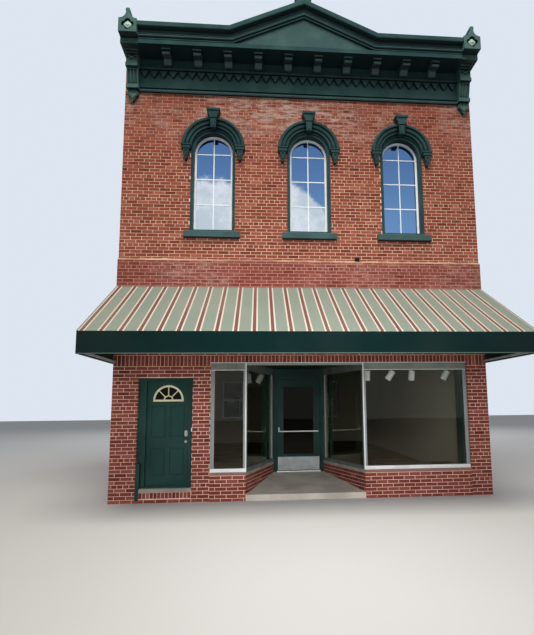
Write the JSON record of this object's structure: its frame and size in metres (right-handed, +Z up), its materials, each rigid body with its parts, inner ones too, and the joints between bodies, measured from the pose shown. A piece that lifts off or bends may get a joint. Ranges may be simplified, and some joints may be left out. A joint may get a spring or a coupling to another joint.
{
  "type": "two-storey shop building in a row",
  "caption": "Two-storey brick shop building: recessed glazed shop entry under a striped canvas awning, arched upper windows with hoods, bracketed pediment cornice, hinged side and shop doors.",
  "frame": {"origin": "centre of the building's box on the ground, at the lowest pavement corner", "axes": "+Z up, the street front faces -Y, +X is to the right as seen from the street"},
  "size_m": [7.3, 14.227, 10.21],
  "materials": {
    "upper_brick": "soft red common brick in pale lime mortar",
    "storefront_brick": "hard deep red facing brick in pale mortar",
    "cement_sill": "trowelled cement",
    "paving": "floated concrete",
    "floor_boards": "worn boards",
    "roofing_felt": "mineral roofing felt",
    "coping_tile": "fired clay coping",
    "green_paint": "dark green gloss paint on joinery",
    "door_paint": "deep green paint on doors and boards",
    "green_metal": "dark green paint on pressed sheet metal",
    "satin_nickel": "satin nickel",
    "bare_aluminium": "brushed aluminium",
    "window_aluminium": "weathered mill aluminium",
    "lamp_white": "white enamel",
    "white_frame": "white enamelled frame",
    "awning_steel": "dark painted tube",
    "striped_canvas": "striped awning canvas",
    "green_canvas": "dark green awning canvas",
    "glass": "clear float glass"
  },
  "bodies": {
    "building": {"left_party_wall": "upper_brick", "right_party_wall": "upper_brick", "rear_wall": "upper_brick", "upper_front_wall": "upper_brick", "storefront_header": "storefront_brick", "left_pier": "storefront_brick", "middle_pier": "storefront_brick", "right_pier": "storefront_brick", "side_door_head_wall": "storefront_brick", "side_door_step": "storefront_brick", "left_bulkhead": "storefront_brick", "right_bulkhead": "storefront_brick", "bulkhead_sills": "cement_sill", "entry_ramp": "paving", "ground_floor": "floor_boards", "upper_floor": "floor_boards", "roof": "roofing_felt", "parapet_coping": "coping_tile", "side_door_frame": "green_paint", "entry_door_frame": "door_paint", "left_shop_window": "window_aluminium", "right_shop_window": "window_aluminium", "shop_window_glass": "glass", "shopfront_ceiling": "door_paint", "display_decks": "floor_boards", "display_lamps": "lamp_white", "window_sills": "green_paint", "window_casings": "green_paint", "window_frames": "white_frame", "upper_window_glass": "glass", "window_hoods": "green_metal", "cornice_frieze": "green_metal", "cornice_modillions": "green_metal", "cornice_crown": "green_metal", "pediment_panel": "green_metal", "end_consoles": "green_metal", "end_blocks": "green_metal", "centre_finial": "green_metal", "awning_frame": "awning_steel", "awning_canvas": "striped_canvas", "awning_valance": "green_canvas", "awning_wings": "green_canvas", "rear_windows": "white_frame", "rear_window_glass": "glass", "rear_door": "door_paint"},
    "side_door": {"side_door_leaf": "door_paint", "side_door_fanlight": "glass", "side_door_lock": "satin_nickel"},
    "entry_door": {"entry_door_leaf": "door_paint", "entry_door_glass": "glass", "entry_push_bar": "bare_aluminium", "entry_kick_plate": "bare_aluminium"}
  },
  "joints": [
    {"name": "side_door_hinge", "type": "hinge", "parent": "building", "child": "side_door", "pos_m": [-3.046, -4.7535, 1.27], "axis": [0, 0, 1], "range_deg": [0, 90]},
    {"name": "entry_door_hinge", "type": "hinge", "parent": "building", "child": "entry_door", "pos_m": [0.4955, -3.0785, 1.32], "axis": [0, 0, 1], "range_deg": [0, 90]}
  ]
}
